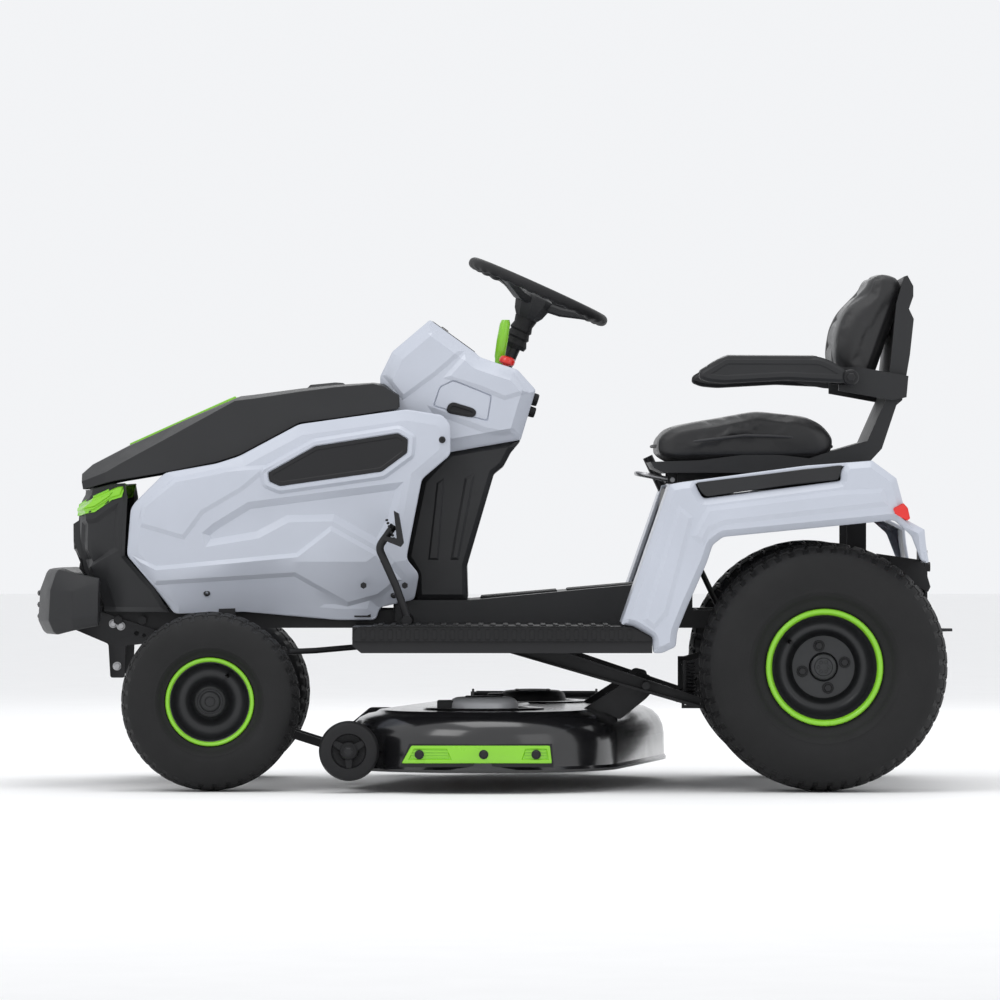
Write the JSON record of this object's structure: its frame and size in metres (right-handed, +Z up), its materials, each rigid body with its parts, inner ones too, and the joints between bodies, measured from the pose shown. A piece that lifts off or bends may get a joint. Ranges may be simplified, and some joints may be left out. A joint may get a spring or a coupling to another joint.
{
  "type": "riding lawn mower",
  "caption": "Battery ride-on lawn tractor with hinged hood, steered front axle, padded seat with armrests and a lifting side-discharge mower deck.",
  "frame": {"origin": "on the ground under the middle of the machine's whole bounding box", "axes": "-X is the front, +X the rear, +Y the machine's right-hand side, +Z up"},
  "size_m": [1.91, 1.28, 1.1037],
  "materials": {
    "black_steel": "powder coat, satin black",
    "dark_plastic": "moulded charcoal, fine grain",
    "green_paint": "gloss lime green",
    "lens": "clear lens",
    "grey_plastic": "moulded light grey, satin",
    "screen": "gloss black glass",
    "battery": "black battery case",
    "steel": "zinc plated",
    "rubber": "matt rubber",
    "tyre": "ribbed rubber",
    "rim_paint": "satin dark grey with a green flange ring",
    "deck_paint": "gloss black paint",
    "silver": "cast and turned aluminium",
    "vinyl": "black vinyl, sewn",
    "red_plastic": "gloss red"
  },
  "bodies": {
    "chassis": {"frame_rails": "black_steel", "front_bumper": "dark_plastic", "grille_fascia": "dark_plastic", "headlight_bezels": "green_paint", "lamps": "lens", "side_panel_left": "grey_plastic", "side_panel_right": "grey_plastic", "console_upper": "grey_plastic", "console_lower": "dark_plastic", "dash_display": "screen", "floor_tunnel": "dark_plastic", "running_boards": "black_steel", "fender_left": "grey_plastic", "fender_right": "grey_plastic", "seat_deck": "dark_plastic", "cup_holders": "dark_plastic", "rear_plate": "black_steel", "transaxle": "black_steel", "battery_packs": "battery", "fasteners": "steel"},
    "hood": {"hood_shell": "dark_plastic"},
    "axle": {"axle_beam": "black_steel"},
    "knuckle_left": {"knuckle_left": "black_steel"},
    "knuckle_right": {"knuckle_right": "black_steel"},
    "tie_rod": {"tie_rod": "steel"},
    "drag_link": {"drag_link": "black_steel"},
    "steering_sector": {"sector_arm": "black_steel"},
    "pinion": {"pinion_shaft": "steel"},
    "steering": {"steering_wheel": "rubber", "steering_shaft": "steel"},
    "front_wheel_left": {"front_tyre_left": "tyre", "front_rim_left": "rim_paint"},
    "front_wheel_right": {"front_tyre_right": "tyre", "front_rim_right": "rim_paint"},
    "rear_wheel_left": {"rear_tyre_left": "tyre", "rear_rim_left": "rim_paint"},
    "rear_wheel_right": {"rear_tyre_right": "tyre", "rear_rim_right": "rim_paint"},
    "deck_arms": {"deck_arms": "black_steel"},
    "deck": {"deck_shell": "deck_paint", "deck_motors": "silver"},
    "front_link": {"front_link": "black_steel"},
    "lift_shaft": {"lift_shaft": "black_steel"},
    "lift_links": {"lift_links": "black_steel"},
    "blade_left": {"blade_left": "steel"},
    "blade_right": {"blade_right": "steel"},
    "gauge_wheel_left": {"gauge_wheel_left": "dark_plastic"},
    "gauge_wheel_right": {"gauge_wheel_right": "dark_plastic"},
    "chute": {"discharge_chute": "dark_plastic"},
    "brake_pedal": {"brake_pedal": "black_steel"},
    "drive_pedal": {"drive_pedal": "black_steel"},
    "seat": {"seat_shell": "dark_plastic", "seat_cushion": "vinyl", "back_cushion": "vinyl"},
    "armrest_left": {"armrest_left": "dark_plastic"},
    "armrest_right": {"armrest_right": "dark_plastic"},
    "seat_bar": {"seat_bar": "steel"},
    "blade_switch": {"blade_switch": "red_plastic"},
    "brake_lever": {"brake_lever": "green_paint"},
    "charge_door": {"charge_door": "grey_plastic"}
  },
  "joints": [
    {"name": "hood_hinge", "type": "hinge", "parent": "chassis", "child": "hood", "pos_m": [-0.235, -0.08, 0.822], "axis": [0, 1, 0], "range_deg": [0, 55]},
    {"name": "axle_rock", "type": "hinge", "parent": "chassis", "child": "axle", "pos_m": [-0.58, -0.08, 0.235], "axis": [1, 0, 0], "range_deg": [-3, 3]},
    {"name": "steer_left", "type": "hinge", "parent": "axle", "child": "knuckle_left", "pos_m": [-0.58, -0.35, 0.235], "axis": [0, 0, 1], "range_deg": [-35, 35]},
    {"name": "steer_right", "type": "hinge", "parent": "axle", "child": "knuckle_right", "pos_m": [-0.58, 0.19, 0.235], "axis": [0, 0, 1], "range_deg": [-36, 36]},
    {"name": "tie_rod_pivot", "type": "hinge", "parent": "knuckle_left", "child": "tie_rod", "pos_m": [-0.47, -0.35, 0.248], "axis": [0, 0, 1], "range_deg": [-36, 36]},
    {"name": "drag_link_pivot", "type": "hinge", "parent": "knuckle_left", "child": "drag_link", "pos_m": [-0.436, -0.33, 0.281], "axis": [0, 0, 1], "range_deg": [-36, 36]},
    {"name": "sector_turn", "type": "hinge", "parent": "chassis", "child": "steering_sector", "pos_m": [-0.17735, -0.14, 0.345], "axis": [0, 0, 1], "range_deg": [-36, 36]},
    {"name": "pinion_turn", "type": "hinge", "parent": "chassis", "child": "pinion", "pos_m": [-0.19752, -0.08, 0.345], "axis": [0, 0, 1], "range_deg": [-216, 216]},
    {"name": "steering_wheel_turn", "type": "hinge", "parent": "chassis", "child": "steering", "pos_m": [0.03185, -0.08, 0.9], "axis": [0.4115, 0, 0.9114], "range_deg": [-216, 216]},
    {"name": "front_wheel_left_spin", "type": "hinge", "parent": "knuckle_left", "child": "front_wheel_left", "pos_m": [-0.58, -0.455, 0.183], "axis": [0, 1, 0], "continuous": true},
    {"name": "rear_wheel_left_spin", "type": "hinge", "parent": "chassis", "child": "rear_wheel_left", "pos_m": [0.67, -0.47, 0.254], "axis": [0, 1, 0], "continuous": true},
    {"name": "front_wheel_right_spin", "type": "hinge", "parent": "knuckle_right", "child": "front_wheel_right", "pos_m": [-0.58, 0.295, 0.183], "axis": [0, 1, 0], "continuous": true},
    {"name": "rear_wheel_right_spin", "type": "hinge", "parent": "chassis", "child": "rear_wheel_right", "pos_m": [0.67, 0.31, 0.254], "axis": [0, 1, 0], "continuous": true},
    {"name": "deck_lift", "type": "hinge", "parent": "chassis", "child": "deck_arms", "pos_m": [0.035, -0.08, 0.3], "axis": [0, -1, 0], "range_deg": [0, 15.31]},
    {"name": "deck_level", "type": "hinge", "parent": "deck_arms", "child": "deck", "pos_m": [0.311, -0.08, 0.212], "axis": [0, -1, 0], "range_deg": [-15.81, 0.5]},
    {"name": "front_link_swing", "type": "hinge", "parent": "chassis", "child": "front_link", "pos_m": [-0.606, -0.08, 0.164], "axis": [0, -1, 0], "range_deg": [-0.5, 15.81]},
    {"name": "lift_lever_turn", "type": "hinge", "parent": "chassis", "child": "lift_shaft", "pos_m": [0.51658, -0.08, 0.28027], "axis": [0, 1, 0], "range_deg": [-0.5, 51.5]},
    {"name": "lift_link_hang", "type": "hinge", "parent": "lift_shaft", "child": "lift_links", "pos_m": [0.401, -0.08, 0.248], "axis": [0, 1, 0], "range_deg": [-51.5, 0.5]},
    {"name": "blade_left_spin", "type": "hinge", "parent": "deck", "child": "blade_left", "pos_m": [-0.0225, -0.345, 0.056], "axis": [0, 0, 1], "continuous": true},
    {"name": "blade_right_spin", "type": "hinge", "parent": "deck", "child": "blade_right", "pos_m": [0.0805, 0.185, 0.056], "axis": [0, 0, 1], "continuous": true},
    {"name": "gauge_wheel_left_spin", "type": "hinge", "parent": "deck", "child": "gauge_wheel_left", "pos_m": [-0.2955, -0.56, 0.085], "axis": [0, 1, 0], "continuous": true},
    {"name": "gauge_wheel_right_spin", "type": "hinge", "parent": "deck", "child": "gauge_wheel_right", "pos_m": [-0.1925, 0.4, 0.085], "axis": [0, 1, 0], "continuous": true},
    {"name": "chute_flap", "type": "hinge", "parent": "deck", "child": "chute", "pos_m": [0.029, 0.473, 0.173], "axis": [1, 0, 0], "range_deg": [0, 70]},
    {"name": "brake_pedal_press", "type": "hinge", "parent": "chassis", "child": "brake_pedal", "pos_m": [-0.18, -0.414, 0.347], "axis": [0, -1, 0], "range_deg": [0, 22], "stiffness_Nm_per_rad": 25, "springref_deg": -8.59},
    {"name": "drive_pedal_rock", "type": "hinge", "parent": "chassis", "child": "drive_pedal", "pos_m": [-0.12, 0.254, 0.347], "axis": [0, 1, 0], "range_deg": [-10, 10], "stiffness_Nm_per_rad": 20},
    {"name": "seat_slide", "type": "slide", "parent": "chassis", "child": "seat", "axis": [1, 0, 0], "range_m": [-0.06, 0.06]},
    {"name": "armrest_left_fold", "type": "hinge", "parent": "seat", "child": "armrest_left", "pos_m": [0.732, -0.33, 0.846], "axis": [0, 1, 0], "range_deg": [0, 75]},
    {"name": "armrest_right_fold", "type": "hinge", "parent": "seat", "child": "armrest_right", "pos_m": [0.732, 0.17, 0.846], "axis": [0, 1, 0], "range_deg": [0, 75]},
    {"name": "seat_bar_lift", "type": "hinge", "parent": "seat", "child": "seat_bar", "pos_m": [0.37, -0.08, 0.636], "axis": [0, 1, 0], "range_deg": [0, 8], "stiffness_Nm_per_rad": 2, "springref_deg": -17.19},
    {"name": "blade_switch_pull", "type": "slide", "parent": "chassis", "child": "blade_switch", "axis": [0.3, 0, 0.9539], "range_m": [0, 0.008]},
    {"name": "brake_lever_swing", "type": "hinge", "parent": "chassis", "child": "brake_lever", "pos_m": [0.006, -0.14, 0.858], "axis": [0, 1, 0], "range_deg": [0, 18]},
    {"name": "charge_door_hinge", "type": "hinge", "parent": "chassis", "child": "charge_door", "pos_m": [-0.016, -0.2893, 0.76], "axis": [0.9664, 0, -0.2571], "range_deg": [0, 80]}
  ],
  "couplings": [
    {"joint": "steer_right", "follows": "steer_left", "ratio": 1},
    {"joint": "tie_rod_pivot", "follows": "steer_left", "ratio": -1},
    {"joint": "drag_link_pivot", "follows": "steer_left", "ratio": -1},
    {"joint": "sector_turn", "follows": "steer_left", "ratio": 1},
    {"joint": "pinion_turn", "follows": "steer_left", "ratio": -6},
    {"joint": "steering_wheel_turn", "follows": "steer_left", "ratio": -6},
    {"joint": "deck_level", "follows": "deck_lift", "ratio": -1},
    {"joint": "front_link_swing", "follows": "deck_lift", "ratio": 1},
    {"joint": "lift_lever_turn", "follows": "deck_lift", "ratio": 3.3311},
    {"joint": "lift_link_hang", "follows": "deck_lift", "ratio": -3.3311}
  ]
}
